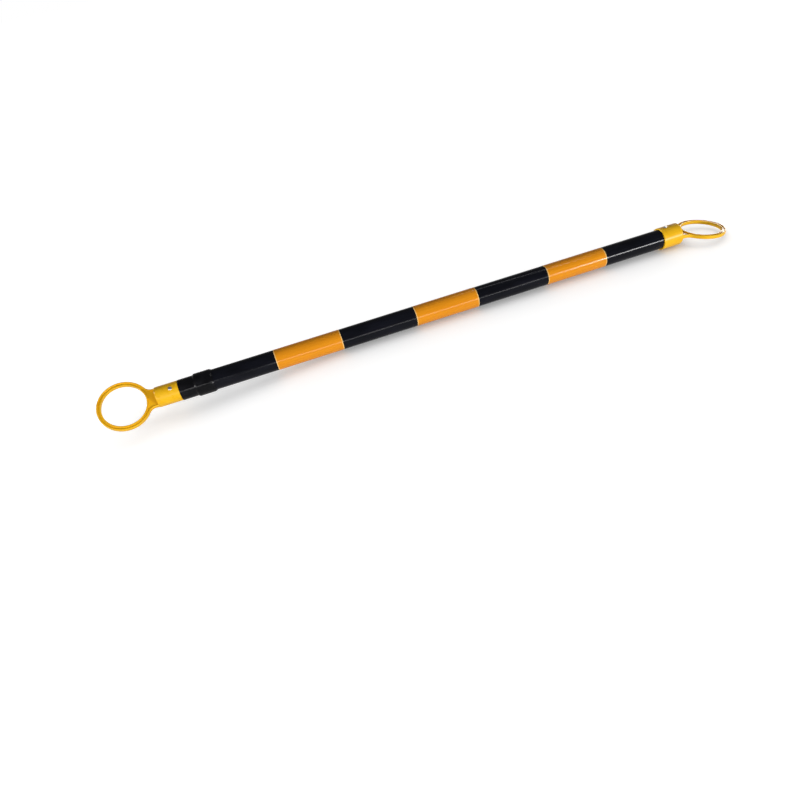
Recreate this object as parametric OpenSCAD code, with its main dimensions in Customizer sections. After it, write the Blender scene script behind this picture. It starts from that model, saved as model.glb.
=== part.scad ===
// Telescopic cone bar, pushed together.
// A thin tube slides and turns inside a thick one, and each end carries a ring.
// X runs along the bar towards the fixed ring, Z is up, and the bar lies on Z = 0.
// Places along the bar are measured from the mouth of the sliding sleeve.

/* [Outer tube] */
// Outside diameter of the outer tube
outer_tube_d = 38; // [37:0.5:42]
// Wall of the outer tube
outer_wall = 1.5; // [1:0.1:1.9]
// Length of the outer tube
outer_tube_len = 976; // [800:1:1400]

/* [Inner tube] */
// Outside diameter of the inner tube
inner_tube_d = 32; // [28:0.5:32.5]
// Wall of the inner tube
inner_wall = 1.5; // [1:0.1:2.5]
// Free length of the outer tube behind the tail plug when the bar is pushed together
tail_margin = 127; // [60:1:300]

/* [Film bands] */
// Thickness of the film
film_t = 0.2; // [0.1:0.05:0.4]
// Length of one yellow band
band_len = 125; // [60:1:150]
// Black length before the first band
first_black = 115; // [60:1:150]
// Black length after the last band
last_black = 126.5; // [60:0.5:150]

/* [Mouth bush] */
// Length of the nose
nose_len = 27; // [15:1:45]
// Wall of the nose round the inner tube
nose_wall = 2.4; // [1.6:0.1:4]
// Length of the collar
collar_len = 34; // [20:1:60]
// Wall of the collar round the outer tube
collar_wall = 2; // [1:0.1:4]
// Thickness of the shoulder that stops the outer tube
shoulder_t = 3; // [2:0.5:6]
// Length of the slopes at the collar's ends
collar_slope = 3; // [1:0.5:5]
// Thickness of the collar's thin edge on the outer tube
collar_edge_t = 0.6; // [0.3:0.1:0.9]
// Bevel of the nose's edge
nose_bevel = 0.8; // [0.2:0.1:1.2]

/* [Ring ends] */
// Length of the sleeves on the tubes
sleeve_len = 42; // [30:0.5:60]
// Wall of the sleeves
sleeve_wall = 2.5; // [1.2:0.1:4]
// Thickness of a sleeve's closed end
sleeve_end_t = 3; // [2:0.1:5]
// Bevel of a sleeve's mouth
mouth_bevel = 0.5; // [0.2:0.1:1]
// Rounding of a sleeve's closed end
sleeve_round = 2; // [1:0.1:3]
// Diameter of the hole in a ring
ring_bore_d = 77; // [60:1:110]
// Height of a ring's lips
ring_h = 7; // [5:0.5:12]
// Width of each lip
lip_w = 2.4; // [1.5:0.1:4]
// Width of the groove between the lips
groove_w = 3.2; // [2:0.1:6]
// Thickness of the web under the groove
web_t = 3; // [1.5:0.1:4.5]
// From a sleeve's closed end to the outer edge of its ring
neck_len = 10; // [9:0.5:30]
// Radius of the hollow sides of the neck
neck_fillet_r = 14; // [6:0.5:18]
// How far the neck's sides lie inside the sleeve's outside
neck_inset = 0.7; // [0.5:0.1:3]
// Downward bend of the fixed ring's neck, in degrees
fixed_neck_bend = 7; // [0:0.5:12]
// Upward bend of the sliding ring's neck, in degrees
sliding_neck_bend = 6; // [0:0.5:12]
// Turn of the sliding ring about the bar, in degrees
sliding_roll = 33; // [0:1:90]

/* [Rivets] */
// Diameter of a rivet's shank
rivet_d = 4; // [3:0.1:5]
// Diameter of a rivet's head
rivet_head_d = 7; // [6:0.1:9]
// Height of a rivet's head
rivet_head_h = 1.4; // [0.8:0.1:2]
// Diameter of a rivet's tail
rivet_tail_d = 6; // [5.5:0.1:7]
// Length of a rivet's tail
rivet_tail_len = 4; // [2.5:0.1:6]
// From a sleeve's mouth to its rivet
rivet_inset = 13.5; // [8:0.5:25]
// Diameter of the pin left in a rivet
mandrel_d = 2.2; // [1.5:0.1:2.6]
// Diameter of that pin's head
mandrel_head_d = 3.6; // [3:0.1:4.5]
// Thickness of that pin's head
mandrel_head_t = 1.5; // [1:0.1:2.5]
// Depth of the pin's broken end below the top of the rivet's head
mandrel_recess = 0.4; // [0.2:0.1:0.8]

/* [Tail plug and friction ring] */
// Length of the plug in the inner tube
plug_len = 25; // [15:1:50]
// Thickness of the plug's flanges
flange_t = 3; // [2:0.5:6]
// Diameter of the plug between its flanges
plug_neck_d = 25; // [18:0.5:26]
// Width of the friction ring
friction_ring_w = 9.4; // [6:0.1:16]
// Width of the slit in the friction ring
slit_w = 3; // [1.5:0.5:6]
// Bevel of the friction ring's edges
friction_bevel = 0.8; // [0.3:0.1:1.5]
// Diameter of the hole through the plug
plug_hole_d = 10; // [4:0.5:14]

/* [Clearances] */
// Gap between the sliding sleeve's mouth and the bush's nose
mouth_gap = 0.3; // [0.2:0.1:1]
// Gap round the inner tube's film in the bush
bush_gap = 0.4; // [0.3:0.05:0.5]
// Gap round the friction ring in the outer tube
friction_gap = 0.35; // [0.3:0.05:0.5]
// Gap between the friction ring and the plug
groove_gap = 0.3; // [0.3:0.05:0.6]
// Gap round a tube in its sleeve, bush or plug, filled by glue
glue_gap = 0.1; // [0.05:0.05:0.2]
// Layer of adhesive under the film
adhesive_t = 0.03; // [0.02:0.01:0.05]
// Gap between a rivet and its holes, and between a rivet and its pin
rivet_gap = 0.05; // [0.05:0.05:0.1]

/* [Hidden] */
$fn = 96;
// Overshoot of a cut past the face it opens
cut = 1;
// How far a hollow side cuts past the faces it runs into, so that they cross cleanly
hollow_bite = 0.05;
// Bands on each tube
band_count = 3;

outer_r = outer_tube_d / 2;
outer_bore_r = outer_r - outer_wall;
inner_r = inner_tube_d / 2;
inner_bore_r = inner_r - inner_wall;
inner_film_r = inner_r + adhesive_t + film_t;

bush_bore_r = inner_film_r + bush_gap;
nose_r = bush_bore_r + nose_wall;
collar_bore_r = outer_r + glue_gap;
collar_r = collar_bore_r + collar_wall;
collar_x = mouth_gap + nose_len;
collar_end_x = collar_x + collar_len;

outer_start_x = collar_x + shoulder_t;
outer_end_x = outer_start_x + outer_tube_len;
socket_depth = sleeve_len - sleeve_end_t;
fixed_mouth_x = outer_end_x - socket_depth;

groove_len = friction_ring_w + 2 * groove_gap;
plug_end_x = outer_end_x - tail_margin;
plug_groove_x = plug_end_x - flange_t - groove_len;
inner_end_x = plug_groove_x - flange_t;
inner_tube_len = inner_end_x + socket_depth;
plug_flange_r = inner_r;
friction_bore_r = plug_neck_d / 2 + groove_gap;
friction_r = outer_bore_r - friction_gap;

ring_bore_r = ring_bore_d / 2;
ring_r = ring_bore_r + 2 * lip_w + groove_w;
ring_reach = ring_r + neck_len;
fixed_sleeve_r = outer_r + glue_gap + sleeve_wall;
sliding_sleeve_r = inner_r + glue_gap + sleeve_wall;

// Black length between two bands on a tube's bare length
function band_gap(bare_len) =
    (bare_len - first_black - band_count * band_len - last_black) / (band_count - 1);
// Reach of a ring's tip along the bar, from its sleeve's mouth
function tip_reach(bend) = sleeve_len + (ring_reach + ring_r) * cos(bend) + ring_h / 2 * abs(sin(bend));
// Upward part of a ring's normal
function normal_up(bend, roll) = cos(bend) * cos(roll);
// Depth of a ring's lowest point below the bar's axis
function ring_drop(bend, roll) =
    ring_reach * sin(bend) * cos(roll)
    + ring_r * sqrt(1 - pow(normal_up(bend, roll), 2))
    + ring_h / 2 * normal_up(bend, roll);

axis_z = max(fixed_sleeve_r, sliding_sleeve_r, collar_r,
             ring_drop(fixed_neck_bend, 0), ring_drop(-sliding_neck_bend, sliding_roll));
middle_x = (fixed_mouth_x + tip_reach(fixed_neck_bend) - tip_reach(sliding_neck_bend)) / 2;

black = [0.09, 0.09, 0.10];
yellow = [0.95, 0.73, 0.06];
band_yellow = [0.95, 0.62, 0.12];
silver = [0.78, 0.78, 0.80];
steel = [0.45, 0.45, 0.47];
ivory = [0.86, 0.84, 0.78];

// Puts the bar's axis at its height, with the whole bar centred along X
module on_bar() {
    translate([-middle_x, 0, axis_z]) children();
}

// As above, for the pieces that turn with the sliding ring
module on_sliding_bar() {
    on_bar() rotate([sliding_roll, 0, 0]) children();
}

// Faces a piece of the sliding end towards the left
module to_the_left() {
    mirror([1, 0, 0]) children();
}

// Turns an outline of [radius, place along the bar] points about the bar's axis
module turned(outline) {
    rotate([0, 90, 0]) rotate_extrude() polygon(outline);
}

// A plain tube about the bar's axis
module tube(start_x, length, outside_r, inside_r) {
    translate([start_x, 0, 0]) rotate([0, 90, 0])
        difference() {
            cylinder(h = length, r = outside_r);
            translate([0, 0, -cut]) cylinder(h = length + 2 * cut, r = inside_r);
        }
}

// One wrap of film round a tube that is bare from first_x on
module film_band(first_x, bare_len, number, tube_r) {
    start_x = first_x + first_black + number * (band_len + band_gap(bare_len));
    color(band_yellow) tube(start_x, band_len, tube_r + adhesive_t + film_t, tube_r + adhesive_t);
}

// A rivet's hole through a sleeve and its tube, from the axis outwards
module rivet_hole(place_x) {
    translate([place_x, 0, 0]) cylinder(h = outer_tube_d, r = rivet_d / 2 + rivet_gap);
}

// Where a flat face of half width half_w rests inside a bore
function seat_in_bore(bore_r, half_w) = sqrt(bore_r * bore_r - half_w * half_w);

// A set blind rivet, standing on a sleeve and clenched inside its tube
module rivet(place_x, sleeve_r, bore_r) {
    head_ball_r = (pow(rivet_head_h, 2) + pow(rivet_head_d / 2, 2)) / (2 * rivet_head_h);
    seat_z = sleeve_r + rivet_gap;
    tail_top_z = seat_in_bore(bore_r, rivet_tail_d / 2) - rivet_gap;
    tail_z = tail_top_z - rivet_tail_len;
    color(silver) translate([place_x, 0, 0])
        difference() {
            union() {
                intersection() {
                    translate([0, 0, seat_z + rivet_head_h - head_ball_r]) sphere(r = head_ball_r);
                    translate([0, 0, seat_z]) cylinder(h = rivet_head_h + cut, r = rivet_head_d / 2);
                }
                translate([0, 0, tail_z]) cylinder(h = seat_z + rivet_head_h / 2 - tail_z, r = rivet_d / 2);
                translate([0, 0, tail_z]) cylinder(h = rivet_tail_len, r = rivet_tail_d / 2);
            }
            translate([0, 0, tail_z - cut])
                cylinder(h = sleeve_r + rivet_head_h + 2 * cut - tail_z, r = mandrel_d / 2 + rivet_gap);
        }
}

// The pin that stays in a set rivet, with its head against the rivet's tail
module mandrel(place_x, sleeve_r, bore_r) {
    tail_z = seat_in_bore(bore_r, rivet_tail_d / 2) - rivet_gap - rivet_tail_len;
    head_z = tail_z - rivet_gap - mandrel_head_t;
    top_z = sleeve_r + rivet_gap + rivet_head_h - mandrel_recess;
    color(steel) translate([place_x, 0, head_z]) {
        cylinder(h = mandrel_head_t, r = mandrel_head_d / 2);
        cylinder(h = top_z - head_z, r = mandrel_d / 2);
    }
}

// Outline of a ring and its neck from above, drawn in from its edge by inset.
// The ring's middle is at the origin and the neck runs along +X into the sleeve.
module ring_plan(sleeve_r, inset) {
    side_y = sleeve_r - neck_inset;
    hollow_y = side_y + neck_fillet_r;
    hollow_x = sqrt(pow(ring_r + neck_fillet_r, 2) - pow(hollow_y, 2));
    root_x = ring_reach + sleeve_end_t / 2;
    circle(r = ring_r - inset);
    difference() {
        polygon([[0, 0], [hollow_x, -hollow_y], [hollow_x, inset - side_y], [root_x, inset - side_y],
                 [root_x, side_y - inset], [hollow_x, side_y - inset], [hollow_x, hollow_y]]);
        for (side = [-1, 1])
            translate([hollow_x, side * hollow_y]) circle(r = neck_fillet_r + inset + hollow_bite);
    }
}

// A ring and its neck: a web with a lip round the hole and a rim along the outer edge
module ring_and_neck(sleeve_r) {
    difference() {
        union() {
            linear_extrude(web_t, center = true) ring_plan(sleeve_r, 0);
            linear_extrude(ring_h, center = true)
                difference() {
                    ring_plan(sleeve_r, 0);
                    ring_plan(sleeve_r, lip_w);
                }
            cylinder(h = ring_h, r = ring_bore_r + lip_w, center = true);
        }
        cylinder(h = ring_h + 2 * cut, r = ring_bore_r, center = true);
    }
}

// Half section of a sleeve's outside, with a bevelled mouth and a rounded closed end
module sleeve_outline(sleeve_r) {
    difference() {
        polygon([[0, 0], [sleeve_r - mouth_bevel, 0], [sleeve_r, mouth_bevel],
                 [sleeve_r, sleeve_len], [0, sleeve_len]]);
        translate([sleeve_r - sleeve_round, sleeve_len - sleeve_round])
            difference() {
                square(sleeve_round + cut);
                circle(r = sleeve_round);
            }
    }
}

// A sleeve with a closed end and its ring, with the mouth at the origin and the ring along +X
module ring_end(sleeve_r, socket_r, bend) {
    color(yellow)
        difference() {
            union() {
                rotate([0, 90, 0]) rotate_extrude() sleeve_outline(sleeve_r);
                translate([sleeve_len, 0, 0]) rotate([0, bend, 0]) translate([ring_reach, 0, 0])
                    mirror([1, 0, 0]) ring_and_neck(sleeve_r);
            }
            translate([-cut, 0, 0]) rotate([0, 90, 0]) cylinder(h = socket_depth + cut, r = socket_r);
            rivet_hole(rivet_inset);
        }
}

module outer_tube() {
    color(black) on_bar()
        difference() {
            tube(outer_start_x, outer_tube_len, outer_r, outer_bore_r);
            rivet_hole(fixed_mouth_x + rivet_inset);
        }
}

module mouth_bush() {
    color(black) on_bar()
        turned([[bush_bore_r, mouth_gap], [nose_r - nose_bevel, mouth_gap],
                [nose_r, mouth_gap + nose_bevel], [nose_r, collar_x],
                [collar_r, collar_x + collar_slope], [collar_r, collar_end_x - collar_slope],
                [collar_bore_r + collar_edge_t, collar_end_x], [collar_bore_r, collar_end_x],
                [collar_bore_r, outer_start_x], [bush_bore_r, outer_start_x]]);
}

module outer_band(number) {
    on_bar() film_band(collar_end_x, fixed_mouth_x - collar_end_x, number, outer_r);
}

module fixed_ring_end() {
    on_bar() translate([fixed_mouth_x, 0, 0])
        ring_end(fixed_sleeve_r, outer_r + glue_gap, fixed_neck_bend);
}

module fixed_rivet() {
    on_bar() rivet(fixed_mouth_x + rivet_inset, fixed_sleeve_r, outer_bore_r);
}

module fixed_rivet_mandrel() {
    on_bar() mandrel(fixed_mouth_x + rivet_inset, fixed_sleeve_r, outer_bore_r);
}

module friction_ring() {
    start_x = plug_groove_x + groove_gap;
    end_x = start_x + friction_ring_w;
    color(ivory) on_bar()
        difference() {
            turned([[friction_bore_r, start_x], [friction_r - friction_bevel, start_x],
                    [friction_r, start_x + friction_bevel], [friction_r, end_x - friction_bevel],
                    [friction_r - friction_bevel, end_x], [friction_bore_r, end_x]]);
            translate([start_x - cut, -slit_w / 2, 0])
                cube([friction_ring_w + 2 * cut, slit_w, outer_tube_d]);
        }
}

module inner_tube() {
    color(black) on_sliding_bar()
        difference() {
            tube(-socket_depth, inner_tube_len, inner_r, inner_bore_r);
            rivet_hole(-rivet_inset);
        }
}

module inner_band(number) {
    on_sliding_bar() film_band(0, inner_end_x, number, inner_r);
}

module tail_plug() {
    shank_r = inner_bore_r - glue_gap;
    neck_r = plug_neck_d / 2;
    hole_r = plug_hole_d / 2;
    second_flange_x = plug_groove_x + groove_len;
    color(ivory) on_sliding_bar()
        turned([[hole_r, inner_end_x - plug_len], [shank_r, inner_end_x - plug_len], [shank_r, inner_end_x],
                [plug_flange_r, inner_end_x], [plug_flange_r, plug_groove_x], [neck_r, plug_groove_x],
                [neck_r, second_flange_x], [plug_flange_r, second_flange_x], [plug_flange_r, plug_end_x],
                [hole_r, plug_end_x]]);
}

module sliding_ring_end() {
    on_sliding_bar() to_the_left() ring_end(sliding_sleeve_r, inner_r + glue_gap, -sliding_neck_bend);
}

module sliding_rivet() {
    on_sliding_bar() rivet(-rivet_inset, sliding_sleeve_r, inner_bore_r);
}

module sliding_rivet_mandrel() {
    on_sliding_bar() mandrel(-rivet_inset, sliding_sleeve_r, inner_bore_r);
}

outer_tube();
mouth_bush();
outer_band(0);  // outer_band_1
outer_band(1);  // outer_band_2
outer_band(2);  // outer_band_3
fixed_ring_end();
fixed_rivet();
fixed_rivet_mandrel();
friction_ring();
inner_tube();
inner_band(0);  // inner_band_1
inner_band(1);  // inner_band_2
inner_band(2);  // inner_band_3
tail_plug();
sliding_ring_end();
sliding_rivet();
sliding_rivet_mandrel();
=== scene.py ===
# %% [markdown]
# # A telescopic cone bar
# The bar is a thin black tube that slides inside a thicker one. Each end carries a yellow moulding
# with a ring, held by one blind rivet, and both tubes are wrapped with bands of yellow film.
# The CAD model already has the sizes and the joints. It could be painted as it is, but light shows
# an object mostly by what its edges do. So here each piece that can be seen is made again as a fine
# mesh with soft edges, and each gets the finish of what it is made of.

# %% Load the frame
import math

import bmesh
import bpy
from mathutils import Matrix, Vector


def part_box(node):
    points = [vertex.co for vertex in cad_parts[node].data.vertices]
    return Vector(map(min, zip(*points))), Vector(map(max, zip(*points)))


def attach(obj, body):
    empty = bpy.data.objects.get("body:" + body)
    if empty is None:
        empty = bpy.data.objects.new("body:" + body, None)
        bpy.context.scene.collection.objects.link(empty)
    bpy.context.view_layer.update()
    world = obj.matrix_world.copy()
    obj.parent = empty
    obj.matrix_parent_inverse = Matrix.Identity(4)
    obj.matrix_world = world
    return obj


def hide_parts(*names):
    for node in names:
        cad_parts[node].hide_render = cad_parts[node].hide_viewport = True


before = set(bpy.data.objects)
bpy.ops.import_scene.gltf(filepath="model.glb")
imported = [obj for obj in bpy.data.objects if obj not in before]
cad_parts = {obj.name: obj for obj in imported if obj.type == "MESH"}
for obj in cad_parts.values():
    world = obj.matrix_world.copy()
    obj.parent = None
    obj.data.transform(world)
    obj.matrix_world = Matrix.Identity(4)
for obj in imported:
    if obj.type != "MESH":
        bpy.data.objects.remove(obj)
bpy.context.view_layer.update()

# %% [markdown]
# ## A place to work in
# A bar is easiest to draw from its own end: x runs along its axis in millimetres from the mouth of
# the sliding sleeve, and radii are measured from the axis. Pieces could also be drawn where they
# lie, but then the twist of the sliding ring would be in every number. So two matrices put a drawing
# in place: one is for the outer tube and what is fixed to it, and one is for the pieces that turn
# with the sliding ring, which is twisted about the bar by 33 degrees.

# %% Bar coordinates
MM = 0.001
MOUTH_GAP = 0.3
RING_TWIST = math.radians(33)

bush_low, bush_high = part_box("mouth_bush")
bar_start = Vector((bush_low.x - MOUTH_GAP * MM, 0, (bush_low.z + bush_high.z) / 2))
outer_place = Matrix.Translation(bar_start) @ Matrix.Scale(MM, 4)
inner_place = outer_place @ Matrix.Rotation(RING_TWIST, 4, "X")
print("The bar's axis is", round(bar_start.z / MM, 2), "mm above the floor")

# %% [markdown]
# ## Colours and nodes
# Colours are easy to read off a paint card as sRGB hex values, but light adds up in linear values,
# so one function turns the first into the second. A material is a small tree of nodes, and one
# function is enough to add a node with its settings and its links.

# %% Colour and node helpers
def linear(hex_colour):
    channels = [int(hex_colour[i:i + 2], 16) / 255 for i in (1, 3, 5)]
    return [c / 12.92 if c <= 0.04045 else ((c + 0.055) / 1.055) ** 2.4 for c in channels] + [1.0]


def add_node(tree, kind, settings=(), links=(), **options):
    made = tree.nodes.new(kind)
    for option, value in options.items():
        setattr(made, option, value)
    for socket, value in dict(settings).items():
        made.inputs[socket].default_value = value
    for socket, source in dict(links).items():
        tree.links.new(source, made.inputs[socket])
    return made


def new_finish(name):
    finish = bpy.data.materials.new(name)
    finish.use_nodes = True
    tree = finish.node_tree
    tree.nodes.clear()
    return finish, tree


print("Mid grey #808080 is", round(linear("#808080")[0], 3), "in linear light")

# %% [markdown]
# ## Turned outlines
# Tubes, bush, sleeves and rivets are all round, so each can be spun from half of its section, as on
# a lathe. A spin from exact outlines gives clean quads, which a boolean of cylinders doesn't.
# Corners are drawn with a radius from the start, because a sharp edge catches no light.
# Long runs are cut into short ones, so that the faces stay near to square.

# %% Outline and lathe helpers
SPIN_STEPS = 128
CORNER_STEPS = 5
WELD = 1e-5


def rounded(corners):
    """A closed outline from (along, out, radius) corners, with each corner an arc of its radius."""
    outline = []
    for i, (along, out, radius) in enumerate(corners):
        corner = Vector((along, out))
        back = (Vector(corners[i - 1][:2]) - corner).normalized()
        ahead = (Vector(corners[(i + 1) % len(corners)][:2]) - corner).normalized()
        if not radius:
            outline.append(corner)
            continue
        half = back.angle(ahead) / 2
        centre = corner + (back + ahead).normalized() * radius / math.sin(half)
        first = corner + back * radius / math.tan(half) - centre
        last = corner + ahead * radius / math.tan(half) - centre
        sweep = first.angle_signed(last)
        for step in range(CORNER_STEPS + 1):
            turn = Matrix.Rotation(-sweep * step / CORNER_STEPS, 2)
            outline.append(centre + turn @ first)
    return outline


def with_short_runs(outline, longest):
    """The outline with points added, so that no run is longer than that."""
    cut = []
    for here, there in zip(outline, outline[1:] + outline[:1]):
        pieces = max(1, math.ceil((there - here).length / longest))
        cut += [here.lerp(there, k / pieces) for k in range(pieces)]
    return cut


def spun(outline, steps=SPIN_STEPS):
    """The mesh of an outline of (along, out) points turned about the bar's axis."""
    mesh = bmesh.new()
    rings = []
    for step in range(steps):
        angle = 2 * math.pi * step / steps
        sine, cosine = math.sin(angle), math.cos(angle)
        rings.append([mesh.verts.new((p.x, p.y * sine, p.y * cosine)) for p in outline])
    for ring, following in zip(rings, rings[1:] + rings[:1]):
        for i in range(len(outline)):
            mesh.faces.new((ring[i - 1], ring[i], following[i], following[i - 1]))
    bmesh.ops.remove_doubles(mesh, verts=mesh.verts, dist=WELD)
    return mesh


print("A lathe of", SPIN_STEPS, "steps is ready")

# %% [markdown]
# ## Putting a piece on the bar
# Each piece goes through the same last steps: it is put in place, shaded smooth with its real
# corners kept, given its finish and tied to the body that it moves with, and its CAD node is
# hidden. Weighted normals let large flat faces stay flat in the light next to a small round.

# %% Piece helper
SHARP_ANGLE = math.radians(40)


def put_on_bar(name, mesh, place, finish, body, slot, *nodes):
    bmesh.ops.transform(mesh, matrix=place, verts=mesh.verts)
    bmesh.ops.recalc_face_normals(mesh, faces=mesh.faces)
    data = bpy.data.meshes.new(name)
    mesh.to_mesh(data)
    mesh.free()
    data.polygons.foreach_set("use_smooth", [True] * len(data.polygons))
    data.set_sharp_from_angle(angle=SHARP_ANGLE)
    data.materials.append(finish)
    piece = bpy.data.objects.new(name, data)
    bpy.context.scene.collection.objects.link(piece)
    piece.modifiers.new("flat_faces", "WEIGHTED_NORMAL").keep_sharp = True
    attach(piece, body)
    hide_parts(*nodes)
    print(name, "has", len(data.polygons), "faces and rides on", body)


print("Edges that bend more than", round(math.degrees(SHARP_ANGLE)), "degrees stay sharp")

# %% [markdown]
# ## Extruded black PVC
# Both tubes are rigid PVC, pushed hot through a die. The die leaves faint lines along the whole
# length, and handling leaves dull patches, so the gloss changes slowly along the bar while it
# stays a deep, slightly blue black. Die lines are 0.1 to 0.3 mm apart, too fine to show here, so
# they are drawn 1.2 mm apart. A scratched picture could be wrapped round the tube, but a noise that
# is stretched along x makes both lines and rubbed marks, and has no seam. The specular level is
# lowered, here and in the bush, because the white room would turn the black to grey.

# %% Black PVC finish
DIE_LINE = 1.2 * MM
RUB_MARK = 14 * MM

black_pvc, tree = new_finish("extruded_black_pvc")
place = add_node(tree, "ShaderNodeTexCoord").outputs["Object"]
along_bar = add_node(tree, "ShaderNodeMapping", {"Scale": (0.02, 1, 1)}, {"Vector": place})
die_lines = add_node(tree, "ShaderNodeTexNoise", {"Scale": 1 / DIE_LINE, "Detail": 2.0},
                     {"Vector": along_bar.outputs["Vector"]})
rub_place = add_node(tree, "ShaderNodeMapping", {"Scale": (0.25, 1, 1)}, {"Vector": place})
rubs = add_node(tree, "ShaderNodeTexNoise", {"Scale": 1 / RUB_MARK, "Detail": 5.0, "Roughness": 0.6},
                {"Vector": rub_place.outputs["Vector"]})
tone = add_node(tree, "ShaderNodeValToRGB", links={"Fac": rubs.outputs["Fac"]})
for stop, at, colour in zip(tone.color_ramp.elements, (0.35, 0.75), ("#0C0D12", "#15161E")):
    stop.position, stop.color = at, linear(colour)
gloss = add_node(tree, "ShaderNodeMapRange",
                 {"From Min": 0.3, "From Max": 0.75, "To Min": 0.1, "To Max": 0.18},
                 {"Value": rubs.outputs["Fac"]})
lines_up = add_node(tree, "ShaderNodeBump", {"Strength": 0.25, "Distance": 0.03 * MM},
                    {"Height": die_lines.outputs["Fac"]})
plastic = add_node(tree, "ShaderNodeBsdfPrincipled", {"IOR": 1.53, "Specular IOR Level": 0.07},
                   {"Base Color": tone.outputs["Color"], "Roughness": gloss.outputs["Result"],
                    "Normal": lines_up.outputs["Normal"]})
add_node(tree, "ShaderNodeOutputMaterial", links={"Surface": plastic.outputs["BSDF"]})
print("Made", black_pvc.name)

# %% [markdown]
# ## The two tubes
# The tubes are plain lengths, cut square and lightly deburred. The outer one starts in the bush
# and ends in the fixed sleeve. The inner one starts in the sliding sleeve and ends at the tail plug.
# A rivet passes through the wall of each. Its hole could be left out, as the sleeve hides it, but the
# rivet would then stick in a solid wall. It is drilled with a boolean, which is fine here because a
# hidden hole needs no neat faces round it. A boolean can leave slivers folded flat along its seam,
# and those are taken out after it.

# %% Boolean helper
SLIVER = 0.001


def as_object(name, mesh):
    data = bpy.data.meshes.new(name)
    bmesh.ops.recalc_face_normals(mesh, faces=mesh.faces)
    mesh.to_mesh(data)
    mesh.free()
    made = bpy.data.objects.new(name, data)
    bpy.context.scene.collection.objects.link(made)
    return made


def without_folds(mesh):
    """The mesh after a boolean, without the slivers that it folds flat along its seam."""
    bmesh.ops.remove_doubles(mesh, verts=mesh.verts, dist=SLIVER)
    many_sided = [face for face in mesh.faces if len(face.verts) > 4]
    bmesh.ops.triangulate(mesh, faces=many_sided)
    bmesh.ops.dissolve_degenerate(mesh, edges=mesh.edges, dist=SLIVER)
    groups = {}
    for face in mesh.faces:
        groups.setdefault(frozenset(face.verts), []).append(face)
    folded = [face for group in groups.values() if len(group) > 1 for face in group]
    bmesh.ops.delete(mesh, geom=folded, context="FACES")
    return mesh


def combined(mesh, *others):
    """The mesh after an exact boolean with each (operation, other mesh) in turn."""
    base = as_object("boolean_base", mesh)
    tools = []
    for operation, other in others:
        tools.append(as_object("boolean_tool", other))
        step = base.modifiers.new(operation.lower(), "BOOLEAN")
        step.operation, step.solver, step.object = operation, "EXACT", tools[-1]
    result = bmesh.new()
    result.from_object(base, bpy.context.evaluated_depsgraph_get())
    for used in [base, *tools]:
        data = used.data
        bpy.data.objects.remove(used)
        bpy.data.meshes.remove(data)
    return without_folds(result)


print("After a boolean, points closer than", SLIVER, "mm become one")

# %% Drill
HOLE_STEPS = 48


def drill(along, radius, length):
    """A drill that stands on the bar's axis and points up."""
    tool = bmesh.new()
    bmesh.ops.create_cone(tool, cap_ends=True, segments=HOLE_STEPS, radius1=radius, radius2=radius,
                          depth=length, matrix=Matrix.Translation((along, 0, length / 2)))
    return tool


print("A drill of", HOLE_STEPS, "steps is ready")

# %% Outer and inner tube
OUTER_R, OUTER_BORE_R, OUTER_START, OUTER_LENGTH = 19.0, 17.5, 30.3, 976.0
INNER_R, INNER_BORE_R, INNER_START, INNER_LENGTH = 16.0, 14.5, -39.0, 902.3
SLEEVE_LENGTH, SLEEVE_END = 42.0, 3.0
FIXED_MOUTH = OUTER_START + OUTER_LENGTH - (SLEEVE_LENGTH - SLEEVE_END)
RIVET_INSET, RIVET_HOLE_R = 13.5, 2.05
DEBURR = 0.3
TUBE_RUN = 25.0


def tube(start, length, outer_r, bore_r, hole_at):
    wall = rounded([(start, bore_r, DEBURR), (start, outer_r, DEBURR),
                    (start + length, outer_r, DEBURR), (start + length, bore_r, DEBURR)])
    return combined(spun(with_short_runs(wall, TUBE_RUN)),
                    ("DIFFERENCE", drill(hole_at, RIVET_HOLE_R, 2 * OUTER_R)))


outer_tube = tube(OUTER_START, OUTER_LENGTH, OUTER_R, OUTER_BORE_R, FIXED_MOUTH + RIVET_INSET)
put_on_bar("black_outer_tube", outer_tube, outer_place, black_pvc,
           "outer_bar", "black_tube", "outer_tube")
inner_tube = tube(INNER_START, INNER_LENGTH, INNER_R, INNER_BORE_R, -RIVET_INSET)
put_on_bar("black_inner_tube", inner_tube, inner_place, black_pvc,
           "inner_bar", "black_tube", "inner_tube")

# %% [markdown]
# ## Moulded black polypropylene
# The bush is injection moulded. Its mould was spark eroded, which leaves a fine even grain, so it
# is a touch duller than the tube. The grain is about 0.15 mm, and is drawn at 0.6 mm to show. It
# could be pushed into the mesh, but that takes a million faces for something that only softens a
# highlight, so a bump is enough. Handling marks change the gloss in patches, as on the tube.

# %% Black polypropylene finish
BUSH_GRAIN = 0.6 * MM

black_pp, tree = new_finish("moulded_black_polypropylene")
place = add_node(tree, "ShaderNodeTexCoord").outputs["Object"]
grain = add_node(tree, "ShaderNodeTexNoise", {"Scale": 1 / BUSH_GRAIN, "Detail": 3.0}, {"Vector": place})
marks = add_node(tree, "ShaderNodeTexNoise", {"Scale": 1 / RUB_MARK, "Detail": 6.0}, {"Vector": place})
tone = add_node(tree, "ShaderNodeValToRGB", links={"Fac": marks.outputs["Fac"]})
for stop, at, colour in zip(tone.color_ramp.elements, (0.3, 0.8), ("#0C0C0E", "#161619")):
    stop.position, stop.color = at, linear(colour)
gloss = add_node(tree, "ShaderNodeMapRange",
                 {"From Min": 0.3, "From Max": 0.7, "To Min": 0.13, "To Max": 0.22},
                 {"Value": marks.outputs["Fac"]})
grain_up = add_node(tree, "ShaderNodeBump", {"Strength": 0.3, "Distance": 0.03 * MM},
                    {"Height": grain.outputs["Fac"]})
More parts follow.
